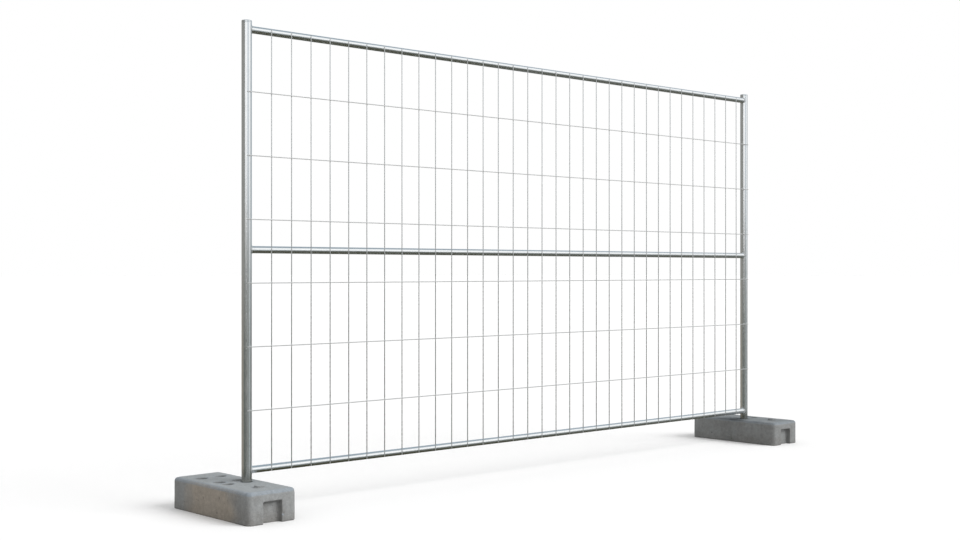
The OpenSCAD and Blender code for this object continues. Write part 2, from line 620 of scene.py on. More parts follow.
class Finishes:
    """All finishes of the object, built once."""

    def __init__(self, upright_welds: tuple[WeldRow, ...], level_welds: tuple[WeldRow, ...]) -> None:
        """Builds the materials.

        Args:
            upright_welds: Welds along the upright wires.
            level_welds: Welds along the level wires.
        """
        effects = SurfaceEffects()
        self.tube = ZincFinish(
            "galvanised_tube", (0.97, 0.99, 1.0), (0.88, 0.911, 0.932), rough=0.16, rough_spread=0.05,
            crystals=62.0, relief=0.03 * MM, oxide=0.64, drawn=150.0).build(effects)
        self.upright_wire = ZincFinish(
            "galvanised_wire", (0.86, 0.885, 0.895), (0.74, 0.765, 0.775), rough=0.24, rough_spread=0.08,
            crystals=240.0, relief=0.04 * MM, oxide=0.62, streak=0.5, ageing=0.85, sprayed=0.8,
            weld_rows=upright_welds).build(effects)
        # Painted shade: the lower rows of the level wires are darkened, evening out the light from above that
        # brightens them.
        self.level_wire = ZincFinish(
            "galvanised_level_wire", (0.72, 0.73, 0.73), (0.64, 0.65, 0.655), rough=0.36, rough_spread=0.08,
            crystals=240.0, relief=0.04 * MM, oxide=0.66, streak=0.5, ageing=0.4, patina=0.7,
            weld_rows=level_welds).build(effects)
        self.cap = ZincFinish(
            "pressed_cap", (0.86, 0.895, 0.915), (0.74, 0.775, 0.795), rough=0.24, rough_spread=0.08,
            crystals=90.0, relief=0.05 * MM, oxide=0.60, streak=1.0).build(effects)
        self.weld = ZincFinish(
            "zinc_sprayed_weld", (0.90, 0.915, 0.92), (0.76, 0.775, 0.78), rough=0.32, rough_spread=0.12,
            crystals=420.0, relief=0.12 * MM, oxide=0.55, streak=1.0).build(effects)
        self.concrete = ConcreteFinish("cast_concrete").build(effects)


def new_object(name: str, data: bpy.types.ID) -> Piece:
    """Puts a mesh, camera or light into the scene, at the origin.

    Args:
        name: Name of the object.
        data: Mesh, camera or light.

    Returns:
        The new object.
    """
    piece = bpy.data.objects.new(name, data)
    bpy.context.scene.collection.objects.link(piece)
    return piece


def evaluated_mesh(piece: Piece) -> Mesh:
    """Plain mesh of an object with its modifiers applied."""
    graph = bpy.context.evaluated_depsgraph_get()
    return bpy.data.meshes.new_from_object(piece.evaluated_get(graph))


def put_mark(mesh: Mesh, mark: Mark, values: Sequence[float]) -> None:
    """Writes one of the finish attributes, one value for each vertex."""
    layer = mesh.attributes.new(mark.value, "FLOAT", "POINT")
    layer.data.foreach_set("value", np.asarray(values, np.float32))


def put_drawn(mesh: Mesh, along: int, axis: Vector, stretch: float = 0.03) -> None:
    """Writes the places round a drawn tube, with its length shortened so that marks run along it.

    Args:
        mesh: Mesh of the tube.
        along: Number of the coordinate along the tube.
        axis: Point on the tube's axis.
        stretch: Length of the places as a share of the tube's length.
    """
    places = np.array([vertex.co - axis for vertex in mesh.vertices], np.float32)
    places[:, along] *= stretch
    layer = mesh.attributes.new(DRAWN, "FLOAT_VECTOR", "POINT")
    layer.data.foreach_set("vector", places.ravel())


def dress(piece: Piece, material: Material, slot: Slot, body: str, nodes: Sequence[str] = (),
          mirrored: bool = True) -> None:
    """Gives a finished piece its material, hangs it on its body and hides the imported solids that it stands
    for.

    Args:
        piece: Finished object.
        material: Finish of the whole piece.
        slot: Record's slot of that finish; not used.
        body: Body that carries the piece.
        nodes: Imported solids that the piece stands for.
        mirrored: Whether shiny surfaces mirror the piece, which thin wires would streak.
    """
    if not piece.data.materials:
        piece.data.materials.append(material)
    piece.visible_glossy = mirrored
    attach(piece, body)
    if nodes:
        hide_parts(*nodes)
    LOG.info("%s: %d faces on %s", piece.name, len(piece.data.polygons), body)


def skin(name: str, rings: Sequence[Sequence[Vector]], closed: bool) -> Mesh:
    """Joins rings of points into a mesh.

    Args:
        name: Name of the mesh.
        rings: Rings in order, each with the same number of points round the piece.
        closed: Joins the last ring to the first, as on a hollow tube. Otherwise both ends are filled.

    Returns:
        Mesh with its faces outwards.
    """
    sides, last = len(rings[0]), len(rings) - 1
    pairs = [(i, i + 1) for i in range(last)]
    if closed:
        pairs.append((last, 0))
    faces = [(a * sides + i, a * sides + (i + 1) % sides, b * sides + (i + 1) % sides, b * sides + i)
             for a, b in pairs for i in range(sides)]
    if not closed:
        faces.append(tuple(reversed(range(sides))))
        faces.append(tuple(range(last * sides, (last + 1) * sides)))
    mesh = bpy.data.meshes.new(name)
    mesh.from_pydata([point for ring in rings for point in ring], [], faces)
    shell = bmesh.new()
    shell.from_mesh(mesh)
    bmesh.ops.recalc_face_normals(shell, faces=shell.faces)
    shell.to_mesh(mesh)
    shell.free()
    mesh.shade_smooth()
    mesh.set_sharp_from_angle(angle=SHARP_ANGLE)
    return mesh


def turns(count: int) -> list[Range]:
    """Cosine and sine of even steps round a full turn."""
    return [(math.cos(2 * math.pi * i / count), math.sin(2 * math.pi * i / count)) for i in range(count)]


def stations(ends: Range, spots: Sequence[float], near: float, fine: float, coarse: float) -> list[float]:
    """Places of the rings along a tube, close together round its welds.

    Args:
        ends: Start and end of the tube.
        spots: Places of the welds.
        near: Distance from a weld within which the rings are close.
        fine: Step of the close rings.
        coarse: Step of the others.

    Returns:
        Places in rising order, both ends included.
    """
    start, end = ends
    places = [start]
    while places[-1] < end - fine / 2:
        here = places[-1]
        gap = min(abs(spot - here) for spot in spots)
        step = fine if gap < near + fine else min(coarse, max(gap - near, fine))
        places.append(min(here + step, end))
    places[-1] = end
    return places


class GeometryTree:
    """Geometry Nodes tree with named inputs, which makes one mesh from a list of values."""

    def __init__(self, name: str, inputs: dict[str, str]) -> None:
        """Starts the tree, with the socket type of each named input."""
        sockets = {"Geometry": SHAPE, **inputs, "Material": "NodeSocketMaterial"}
        self.tree, self.entry, self.out = new_group(name, "GeometryNodeTree", sockets, {"Geometry": SHAPE})

    def node(self, kind: str, feeds: dict | None = None, output: int | str = 0, **settings: object) -> Flow:
        """Adds a geometry node and gives one of its outputs."""
        return self.tree.get(f"GeometryNode{kind}", feeds, output, **settings)

    def close(self, shape: Flow) -> None:
        """Ends the tree: the shape is made real, shaded smooth and given its material.

        Args:
            shape: Geometry that the tree has made.
        """
        smooth = self.node("SetShadeSmooth", {"Geometry": self.node("RealizeInstances", {"Geometry": shape})})
        done = self.node("SetMaterial", {"Geometry": smooth, "Material": self.entry["Material"]})
        self.tree.fill(self.out, {"Geometry": done})

    def make(self, name: str, values: dict[str, object], mesh: Mesh | None = None) -> Piece:
        """Runs the tree and keeps the result as the plain mesh of a new piece.

        Args:
            name: Name of the piece.
            values: Value of each named input.
            mesh: Mesh that goes into the tree, if it reads one.

        Returns:
            The new piece.
        """
        piece = new_object(name, mesh or bpy.data.meshes.new(name))
        modifier = piece.modifiers.new(self.tree.nodes.name, "NODES")
        modifier.node_group = self.tree.nodes
        keys = {item.name: item.identifier for item in self.tree.nodes.interface.items_tree
                if item.in_out == "INPUT"}
        for label, value in values.items():
            modifier[keys[label]] = value
        made = evaluated_mesh(piece)
        piece.modifiers.remove(modifier)
        piece.data = made
        made.name = name
        made.set_sharp_from_angle(angle=SHARP_ANGLE)
        return piece


class Nodework:
    """The Geometry Nodes trees of the wire mesh and of its welds."""

    NUGGET = {"Segments": 8, "Rings": 6, "Radius": 1.0}
    NUGGET_TILT = ((-0.35, -0.35, -0.35), (0.35, 0.35, 0.35))
    NUGGET_SPREAD = ((0.82, 0.9, 0.82), (1.2, 1.1, 1.2))
    BEAD_SECTION = {"Resolution": 10, "Radius": 1.0}
    LUMPS_PER_METRE = 140.0

    def __init__(self) -> None:
        """Builds the trees."""
        self.wires = self.build_wires()
        self.spots = self.build_spots()
        self.bead = self.build_bead()

    @staticmethod
    def build_wires() -> GeometryTree:
        """Row of like wires, each drawn along the same run and swaying by a hair.

        Returns:
            The tree.
        """
        made = GeometryTree("wire_row", {
            "Count": WHOLE, "First": VECTOR, "Step": VECTOR, "Run": VECTOR, "Radius": FLOAT, "Sides": WHOLE,
            "Stations": WHOLE, "Sway": VECTOR, "Sways per Metre": FLOAT})
        tree, node, entry = made.tree, made.node, made.entry
        starts = node("MeshLine", {
            "Count": entry["Count"], "Start Location": entry["First"], "Offset": entry["Step"]})
        line = node("CurvePrimitiveLine", {"End": entry["Run"]})
        path = node("ResampleCurve", {"Curve": line, "Count": entry["Stations"]})
        section = node("CurvePrimitiveCircle", {"Resolution": entry["Sides"], "Radius": entry["Radius"]})
        wire = node("CurveToMesh", {"Curve": path, "Profile Curve": section, "Fill Caps": True})
        row = node("InstanceOnPoints", {"Points": starts, "Instance": wire})
        real = node("RealizeInstances", {"Geometry": row})
        waves = {"Vector": node("InputPosition"), "Scale": entry["Sways per Metre"], "Detail": 1.0}
        wave = tree.vector("SUBTRACT", tree.get("ShaderNodeTexNoise", waves, "Color"), (0.5, 0.5, 0.5))
        sway = tree.vector("MULTIPLY", wave, entry["Sway"])
        made.close(node("SetPosition", {"Geometry": real, "Offset": sway}))
        return made

    @classmethod
    def build_spots(cls) -> GeometryTree:
        """Grid of small weld nuggets, each turned and sized a little differently.

        Returns:
            The tree.
        """
        made = GeometryTree("weld_spots", {
            "Columns": WHOLE, "Column Step": VECTOR, "Rows": WHOLE, "Row Step": VECTOR, "First": VECTOR,
            "Size": VECTOR, "Seed": WHOLE})
        tree, node, entry = made.tree, made.node, made.entry
        column = node("MeshLine", {"Count": entry["Rows"], "Offset": entry["Row Step"]})
        starts = node("MeshLine", {
            "Count": entry["Columns"], "Start Location": entry["First"], "Offset": entry["Column Step"]})
        grid = node("InstanceOnPoints", {"Points": starts, "Instance": column})
        tilt, spread = (
            tree.get("FunctionNodeRandomValue", {0: low, 1: high, "Seed": entry["Seed"]},
                     data_type="FLOAT_VECTOR")
            for low, high in (cls.NUGGET_TILT, cls.NUGGET_SPREAD))
        made.close(node("InstanceOnPoints", {
            "Points": node("RealizeInstances", {"Geometry": grid}),
            "Instance": node("MeshUVSphere", cls.NUGGET),
            "Rotation": tilt, "Scale": tree.vector("MULTIPLY", entry["Size"], spread)}))
        return made

    @classmethod
    def build_bead(cls) -> GeometryTree:
        """Weld bead along the loops of the input mesh, rippled and a little uneven.

        Returns:
            The tree.
        """
        made = GeometryTree("weld_bead", dict.fromkeys(
            ("Radius", "Step", "Ripples per Metre", "Ripple", "Unevenness"), FLOAT))
        tree, node, entry = made.tree, made.node, made.entry
        loops = node("MeshToCurve", {"Mesh": entry["Geometry"]})
        path = node("ResampleCurve", {"Curve": loops, "Length": entry["Step"]}, mode="LENGTH")
        phase = node("SplineParameter", output="Length") * entry["Ripples per Metre"] * (2 * math.pi)
        lump = tree.noise(node("InputPosition"), cls.LUMPS_PER_METRE, 2.0) - 0.5
        swell = tree.math("SINE", phase) * entry["Ripple"] + lump * entry["Unevenness"] + 1.0
        section = node("CurvePrimitiveCircle", cls.BEAD_SECTION)
        made.close(node("CurveToMesh", {
            "Curve": path, "Profile Curve": section, "Scale": swell * entry["Radius"]}))
        return made


@dataclass
class RailTube:
    """Level tube between the posts, its ends cut to the round of the posts."""

    level: Level
    post_axes: tuple[Vector, Vector]
    post_radius: float
    wire_places: Sequence[float]
    wall: float = 1.5 * MM
    fit_gap: float = 0.1 * MM
    sides: int = 56
    seam_steps: int = 72
    ring_near: float = 12 * MM
    ring_steps: Range = (4 * MM, 60 * MM)
    end_spray: float = 14 * MM
    spot_spray: float = 6 * MM

    def __post_init__(self) -> None:
        """Reads the rail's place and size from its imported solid."""
        span = Span.of(self.level.value)
        self.axis_y, self.axis_z = span.centre.yz
        self.radius = span.size.z / 2

    def reach(self, side: Side, y: float, clear: float) -> float:
        """Place along X at which a line at this y comes within the clear distance of a post."""
        axis = self.post_axes[0 if side is Side.LEFT else 1]
        return axis.x - side.value * math.sqrt((self.post_radius + clear) ** 2 - (y - axis.y) ** 2)

    def section(self, share: float, radius: float) -> list[Vector]:
        """Ring of points round the tube.

        Args:
            share: Place from one cut end, 0, to the other, 1.
            radius: Radius of the ring.

        Returns:
            The points in order.
        """
        points = []
        for across, up in turns(self.sides):
            y = self.axis_y + radius * across
            start, end = (self.reach(side, y, self.fit_gap) for side in Side)
            points.append(Vector((start + share * (end - start), y, self.axis_z + radius * up)))
        return points

    def seam(self, side: Side) -> list[Vector]:
        """Closed line along which the rail meets a post.

        Args:
            side: Which post.

        Returns:
            The points in order.
        """
        points = []
        for across, up in turns(self.seam_steps):
            y = self.axis_y + self.radius * across
            points.append(Vector((self.reach(side, y, 0.0), y, self.axis_z + self.radius * up)))
        return points

    def spray(self, point: Vector) -> float:
        """How much zinc was sprayed on a point for the welds.

        Args:
            point: Point of the tube.

        Returns:
            A share from 0 to 1.
        """
        from_end = min(abs(point.x - self.reach(side, self.axis_y, 0.0)) for side in Side)
        sideways = min(abs(point.x - place) for place in self.wire_places)
        aside = math.hypot(sideways, point.y - (self.axis_y - self.radius), point.z - self.axis_z)
        return max(math.exp(-(from_end / self.end_spray) ** 2), math.exp(-(aside / self.spot_spray) ** 2))

    def build(self) -> Piece:
        """Makes the tube, with the marks of its welds.

        Returns:
            The finished object.
        """
        start, end = (self.reach(side, self.axis_y, self.fit_gap) for side in Side)
        places = stations((start, end), [start, end, *self.wire_places], self.ring_near, *self.ring_steps)
        rings = [self.section((place - start) / (end - start), self.radius) for place in places]
        rings += [self.section(share, self.radius - self.wall) for share in (1.0, 0.0)]
        mesh = skin(f"{self.level.value}_tube", rings, closed=True)
        put_drawn(mesh, 0, Vector((0.0, self.axis_y, self.axis_z)))
        put_mark(mesh, Mark.SPRAY, [self.spray(vertex.co) for vertex in mesh.vertices])
        return new_object(mesh.name, mesh)

    def finish(self, finishes: Finishes) -> None:
        """Builds and dresses the rail."""
        dress(self.build(), finishes.tube, Slot.TUBE, PANEL, [self.level.value])


@dataclass
class Post:
    """Upright tube of the frame with the pressed cap in its upper end."""

    side: Side
    rail_axes: Sequence[Range]
    rail_radius: float
    row_places: Sequence[float]
    row_front: float
    wall: float = 1.5 * MM
    sides: int = 80
    rim: float = 0.5 * MM
    cap_edge: float = 3 * MM
    cap_wall: float = 2.5 * MM
    cap_clearance: float = 0.15 * MM
    edge_steps: int = 6
    ring_near: float = 34 * MM
    ring_steps: Range = (4 * MM, 70 * MM)
    bead_spray: float = 11 * MM
    spot_spray: float = 6 * MM
    grime_top: float = 195 * MM
    grime_fade: float = 50 * MM

    def __post_init__(self) -> None:
        """Reads the post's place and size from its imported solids."""
        self.node = f"{self.side.label}_post"
        span, cap = Span.of(self.node), Span.of(f"{self.node}_cap")
        self.axis = span.centre
        self.radius = span.size.x / 2
        self.base, self.top = span.lo.z, span.hi.z
        self.plug_base, self.cap_top = cap.lo.z, cap.hi.z

    def rings(self, profile: Sequence[Range]) -> list[list[Vector]]:
        """Level rings round the post's axis, one for each radius and height."""
        return [[Vector((self.axis.x + radius * across, self.axis.y + radius * deep, height))
                 for across, deep in turns(self.sides)] for radius, height in profile]

    def spray(self, point: Vector) -> float:
        """How much zinc was sprayed on a point for the welds.

        Args:
            point: Point of the tube.

        Returns:
            A share from 0 to 1.
        """
        bead = 0.0
        if (point.x - self.axis.x) * self.side.value < 0:
            away = min(abs(math.hypot(point.y - y, point.z - z) - self.rail_radius)
                       for y, z in self.rail_axes)
            bead = math.exp(-(away / self.bead_spray) ** 2)
        from_row = min(abs(point.z - z) for z in self.row_places)
        spot = math.hypot(from_row, point.x - self.axis.x, point.y - self.row_front)
        return max(bead, math.exp(-(spot / self.spot_spray) ** 2))

    def grime(self, height: float) -> float:
        """How much dirt from the ground a height has, from 0 to 1."""
        return min(max((self.grime_top - height) / self.grime_fade, 0.0), 1.0)

    def build_tube(self) -> Piece:
        """Makes the hollow tube, with the marks of its welds and of the ground.

        Returns:
            The finished object.
        """
        welds = [*(z for _, z in self.rail_axes), *self.row_places]
        ends = (self.base + self.rim, self.top - self.rim)
        heights = stations(ends, welds, self.ring_near, *self.ring_steps)
        inner, lip = self.radius - self.wall, self.radius - self.rim / 2
        profile = [(lip, self.base), *((self.radius, height) for height in heights), (lip, self.top),
                   (inner, self.top), (inner, self.base)]
        mesh = skin(f"{self.node}_tube", self.rings(profile), closed=True)
        put_drawn(mesh, 2, Vector((self.axis.x, self.axis.y, 0.0)))
        put_mark(mesh, Mark.SPRAY, [self.spray(vertex.co) for vertex in mesh.vertices])
        put_mark(mesh, Mark.GRIME, [self.grime(vertex.co.z) for vertex in mesh.vertices])
        return new_object(mesh.name, mesh)

    def build_cap(self) -> Piece:
        """Makes the cap: a head with a rounded edge and a hollow plug inside the tube.

        Returns:
            The finished object.
        """
        plug = self.radius - self.wall - self.cap_clearance
        hollow = plug - self.cap_wall
        profile = [(hollow, self.top), (hollow, self.plug_base), (plug, self.plug_base), (plug, self.top),
                   (self.radius - self.rim, self.top), (self.radius, self.top + self.rim)]
        for step in range(self.edge_steps + 1):
            turn = math.pi / 2 * step / self.edge_steps
            profile.append((self.radius - self.cap_edge * (1 - math.cos(turn)),
                            self.cap_top - self.cap_edge * (1 - math.sin(turn))))
        mesh = skin(f"{self.node}_lid", self.rings(profile), closed=False)
        return new_object(mesh.name, mesh)

    def finish(self, finishes: Finishes) -> None:
        """Builds and dresses the tube and its cap."""
        dress(self.build_tube(), finishes.tube, Slot.TUBE, PANEL, [self.node])
        dress(self.build_cap(), finishes.cap, Slot.CAP, PANEL, [f"{self.node}_cap"])


@dataclass
class WireRow:
    """All wires of one direction, evenly spaced. Along and across are numbers of coordinates."""

    name: str
    prefix: str
    along: int
    across: int
    stations: int
    sway: Triple
    sides: int = 14
    sways: float = 2.3

    def __post_init__(self) -> None:
        """Reads the wires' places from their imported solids."""
        self.nodes = sorted(node for node in frame["nodes"] if node.startswith(self.prefix))
        self.span = Span.of(self.nodes[0])
        first, last = self.span.centre[self.across], Span.of(self.nodes[-1]).centre[self.across]
        self.places = list(np.linspace(first, last, len(self.nodes)))
        self.pitch = self.places[1] - self.places[0]
        self.depth = self.span.centre.y

    def build(self, nodework: Nodework, material: Material, radius: float) -> Piece:
        """Makes the wires as one mesh.

        Args:
            nodework: Geometry Nodes trees.
            material: Finish of the wires.
            radius: Radius of the wires.

        Returns:
            The finished object.
        """
        first, step, run = self.span.centre, Vector(), Vector()
        first[self.along] = self.span.lo[self.along]
        step[self.across] = self.pitch
        run[self.along] = self.span.size[self.along]
        return nodework.wires.make(self.name, {
            "Count": len(self.nodes), "First": first, "Step": step, "Run": run, "Radius": radius,
            "Sides": self.sides, "Stations": self.stations, "Sway": self.sway, "Sways per Metre": self.sways,
            "Material": material})


@dataclass
class WireMesh:
    """Upright and level wires, and the spot welds that hold them."""

    upright_sway: Triple = (0.9 * MM, 0.5 * MM, 0.0)
    level_sway: Triple = (0.0, 0.4 * MM, 1.0 * MM)
    nugget: Triple = (2.7 * MM, 1.9 * MM, 2.9 * MM)
    nugget_spray: float = 0.1
    seed: int = 7

    def __post_init__(self) -> None:
        """Finds the wires of both directions."""
        self.uprights = WireRow(
            "upright_wires", "vertical_wire_", along=2, across=0, stations=40, sway=self.upright_sway)
        self.levels = WireRow(
            "level_wires", "horizontal_wire_", along=0, across=2, stations=70, sway=self.level_sway)
        self.radius = self.uprights.span.size.x / 2

    def build_spots(self, name: str, nodework: Nodework, material: Material, grid: Grid, seed: int) -> Piece:
        """Makes one grid of spot welds.

        Args:
            name: Name of the piece.
            nodework: Geometry Nodes trees.
            material: Finish of the welds.
            grid: Places along X, heights, both evenly spaced, and the place across the panel.
            seed: Seed of the small differences.

        Returns:
            The finished object.
        """
        columns, rows, depth = grid
        piece = nodework.spots.make(name, {
            "Columns": len(columns), "Column Step": (columns[1] - columns[0], 0.0, 0.0), "Rows": len(rows),
            "Row Step": (0.0, 0.0, rows[1] - rows[0]), "First": (columns[0], depth, rows[0]),
            "Size": self.nugget, "Seed": seed, "Material": material})
        put_mark(piece.data, Mark.SPRAY, [self.nugget_spray] * len(piece.data.vertices))
        return piece

    def finish(self, nodework: Nodework, finishes: Finishes, rails: Sequence[RailTube],
               posts: Sequence[Post]) -> None:
        """Builds and dresses the wires and their welds.

        Args:
            nodework: Geometry Nodes trees.
            finishes: Finishes of the object.
            rails: Rails that the upright wires are welded to.
            posts: Posts that the level wires are welded to.
        """
        rows = ((self.uprights, finishes.upright_wire, False), (self.levels, finishes.level_wire, True))
        for row, material, mirrored in rows:
            piece = row.build(nodework, material, self.radius)
            dress(piece, material, Slot.WIRE, PANEL, row.nodes, mirrored)
        grids = {
            "mesh_spot_welds": (self.uprights.places, self.levels.places,
                                (self.uprights.depth + self.levels.depth) / 2),
            "rail_spot_welds": (self.uprights.places, [rail.axis_z for rail in rails],
                                rails[0].axis_y - rails[0].radius),
            "post_spot_welds": ([post.axis.x for post in posts], self.levels.places,
                                posts[0].axis.y - posts[0].radius),
        }
        for seed, (name, grid) in enumerate(grids.items(), self.seed):
            piece = self.build_spots(name, nodework, finishes.weld, grid, seed)
            dress(piece, finishes.weld, Slot.WIRE, PANEL, mirrored=False)


@dataclass
class RailBeads:
    """Weld beads round the ends of the rails."""

    rails: Sequence[RailTube]
    radius: float = 2.8 * MM
    step: float = 0.9 * MM
    ripples: float = 280.0
    ripple: float = 0.13
    unevenness: float = 0.5
    spray: float = 0.25

    def build(self, nodework: Nodework, material: Material) -> Piece:
        """Makes the beads as one mesh.

        Args:
            nodework: Geometry Nodes trees.
            material: Finish of the welds.

        Returns:
            The finished object.
        """
        points, edges = [], []
        for rail in self.rails:
            for side in Side:
                loop, first = rail.seam(side), len(points)
                points += loop
                edges += [(first + i, first + (i + 1) % len(loop)) for i in range(len(loop))]
        mesh = bpy.data.meshes.new("rail_end_welds")
        mesh.from_pydata(points, edges, [])
        piece = nodework.bead.make(mesh.name, {
            "Radius": self.radius, "Step": self.step, "Ripples per Metre": self.ripples,
            "Ripple": self.ripple, "Unevenness": self.unevenness, "Material": material}, mesh)
        put_mark(piece.data, Mark.SPRAY, [self.spray] * len(piece.data.vertices))
        return piece

    def finish(self, nodework: Nodework, finishes: Finishes) -> None:
        """Builds and dresses the beads."""
        dress(self.build(nodework, finishes.weld), finishes.weld, Slot.TUBE, PANEL)


@dataclass(frozen=True)
class RoundWall:
    """Upright round wall of a foot: a socket, the stud or its seat."""

    axis: Vector
    radius: float
    low: float
    high: float


@dataclass(frozen=True)
class Cloud:
    """Uneven measure over a surface: its mean, and the strength and the waves per metre of its noise."""

    per_metre: float
    strength: float
    mean: float = 0.0


class CastSurface:
    """Points of a cast block that are moved to give it its worn surface."""

    PULLS = (0.5, -0.52)

    def __init__(self, mesh: Mesh) -> None:
        """Reads the points, normals and edges of a mesh.

        Args:
            mesh: Mesh of the block.
        """
        self.mesh = mesh
        self.points = np.array([vertex.co for vertex in mesh.vertices])
        self.normals = np.array([vertex.normal for vertex in mesh.vertices])
        self.edges = np.array([edge.vertices[:] for edge in mesh.edges])
        self.degree = np.bincount(self.edges.ravel(), minlength=len(self.points))

    def store(self) -> None:
        """Writes the points back to the mesh and reads its new normals."""
        self.mesh.vertices.foreach_set("co", self.points.ravel())
        self.mesh.update()
        self.normals = np.array([vertex.normal for vertex in self.mesh.vertices])

    def around(self, values: np.ndarray) -> np.ndarray:
        """Mean of each point's neighbours.

        Args:
            values: A number or vector for each point.

        Returns:
            The means, in the same order.
        """
        total = np.zeros_like(values, float)
        a, b = self.edges.T
        np.add.at(total, a, values[b])
        np.add.at(total, b, values[a])
        return (total.T / self.degree).T

    def spread(self, values: np.ndarray, rounds: int) -> np.ndarray:
        """Smooths values over the surface.

        Args:
            values: A number for each point.
            rounds: How often each value moves halfway to those around it.

        Returns:
            The smoothed values.
        """
        for _ in range(rounds):
            values = (values + self.around(values)) / 2
        return values

    def smooth(self, rounds: int) -> None:
        """Smooths the points without shrinking the block much.

        Args:
            rounds: How often the points are pulled in and pushed out again.
        """
        for _ in range(rounds):
            for pull in self.PULLS:
                self.points += pull * (self.around(self.points) - self.points)

    def convexity(self) -> np.ndarray:
        """How far each point stands out from its neighbours, along its normal."""
        return np.einsum("ij,ij->i", self.points - self.around(self.points), self.normals)

    def cloud(self, cloud: Cloud, offset: Vector) -> np.ndarray:
        """Value of a cloud at each point, with its noise moved by the offset."""
        places = (self.points * cloud.per_metre + np.array(offset)).tolist()
        return cloud.mean + cloud.strength * np.array([noise.noise(place) for place in places])

    def reach(self, wall: RoundWall) -> np.ndarray:
        """Distance of each point from the axis of a round wall."""
        return np.linalg.norm(self.points[:, :2] - np.array(wall.axis[:2]), axis=1)


def ramp(values: np.ndarray, low: float, width: float) -> np.ndarray:
    """Rises from 0 at the low value to 1 a width further on."""
    return np.clip((values - low) / width, 0.0, 1.0)


@dataclass(frozen=True)
class Dents:
    """Round hollows at random places of a surface, with sizes and depths in millimetres."""

    count: int
    sizes: Range
    depths: Range

    def draw(self, surface: CastSurface, picks: np.random.Generator, starts: np.ndarray,
             ragged: np.ndarray | float = 1.0) -> Iterator[tuple[float, np.ndarray]]:
        """Draws the hollows one by one.

        Args:
            surface: Points of the block.
            picks: Source of the random draws.
            starts: Numbers of the points that may be the middle of a hollow.
            ragged: Factor for each point that makes the outlines uneven.

        Returns:
            Depth of each hollow, and how far each point lies in it, from 0 to 1.
        """
        for start in picks.choice(starts, self.count):
            size, depth = picks.uniform(*self.sizes) * MM, picks.uniform(*self.depths) * MM
            away = np.linalg.norm(surface.points - surface.points[start], axis=1) / size
            yield depth, np.clip(1.0 - (away * ragged) ** 2, 0.0, 1.0)


@dataclass(frozen=True)
class Wear:
    """What the two feet don't share: random seed, dampness and the dark patch on top."""

    seed: int
    damp: float
    stain: float


